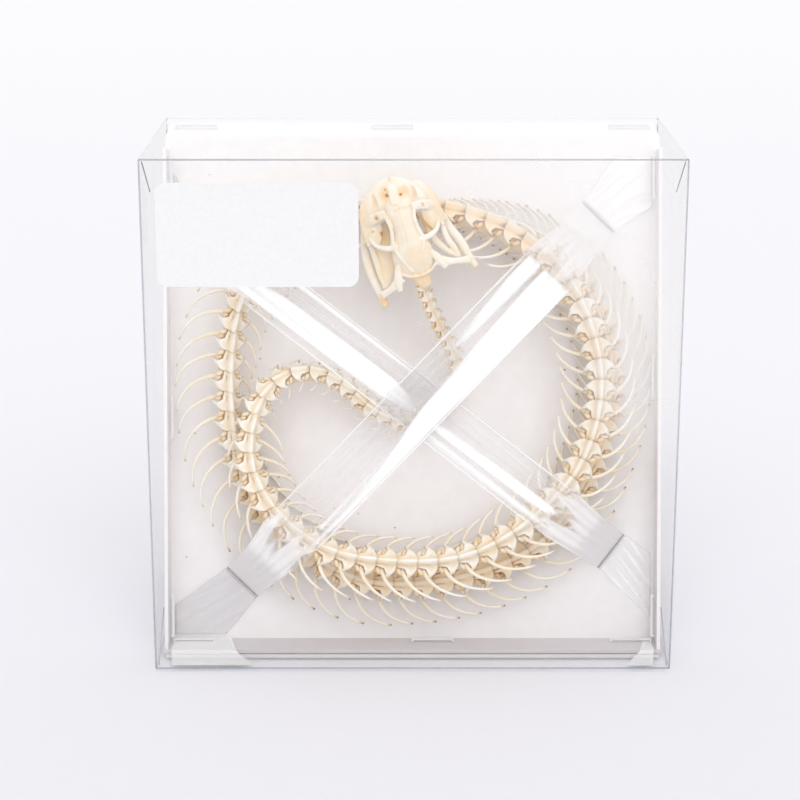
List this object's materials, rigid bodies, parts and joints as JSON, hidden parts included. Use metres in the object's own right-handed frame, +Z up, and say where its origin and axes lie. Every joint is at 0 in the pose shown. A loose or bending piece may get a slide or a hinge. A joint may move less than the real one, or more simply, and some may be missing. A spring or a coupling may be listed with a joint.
{
  "type": "cased snake skeleton",
  "caption": "Coiled snake skeleton strapped to a white card tray by crossed clear film straps, standing in an upright clear folded case with a blank front label.",
  "frame": {"origin": "middle of the case's underside", "axes": "+Z up, +Y from the front of the case to its back, +X to the right seen from the front"},
  "size_m": [0.15, 0.075, 0.15],
  "materials": {
    "clear_sheet": "clear gloss sheet",
    "clear_film": "clear gloss film",
    "paper": "matt paper",
    "card": "matt card",
    "steel_wire": "dull wire",
    "bone": "dry cleaned bone",
    "dark_bone": "dry bone with dried tissue"
  },
  "bodies": {
    "root": {"case_cover": "clear_sheet", "case_back": "clear_sheet", "label": "paper", "tray": "card", "staple_top_1": "steel_wire", "staple_top_2": "steel_wire", "staple_top_3": "steel_wire", "staple_bottom_1": "steel_wire", "staple_bottom_2": "steel_wire", "staple_bottom_3": "steel_wire", "staple_left_1": "steel_wire", "staple_left_2": "steel_wire", "staple_left_3": "steel_wire", "staple_right_1": "steel_wire", "staple_right_2": "steel_wire", "staple_right_3": "steel_wire", "strap_under": "clear_film", "strap_over": "clear_film", "neck_front": "bone", "neck_rear": "bone", "trunk_01": "bone", "trunk_02": "bone", "trunk_03": "bone", "trunk_04": "bone", "trunk_05": "bone", "trunk_06": "bone", "trunk_07": "bone", "trunk_08": "bone", "trunk_09": "bone", "trunk_10": "bone", "trunk_11": "bone", "skull": "bone", "jaw_left": "bone", "jaw_right": "bone", "tail": "dark_bone"}
  },
  "joints": []
}
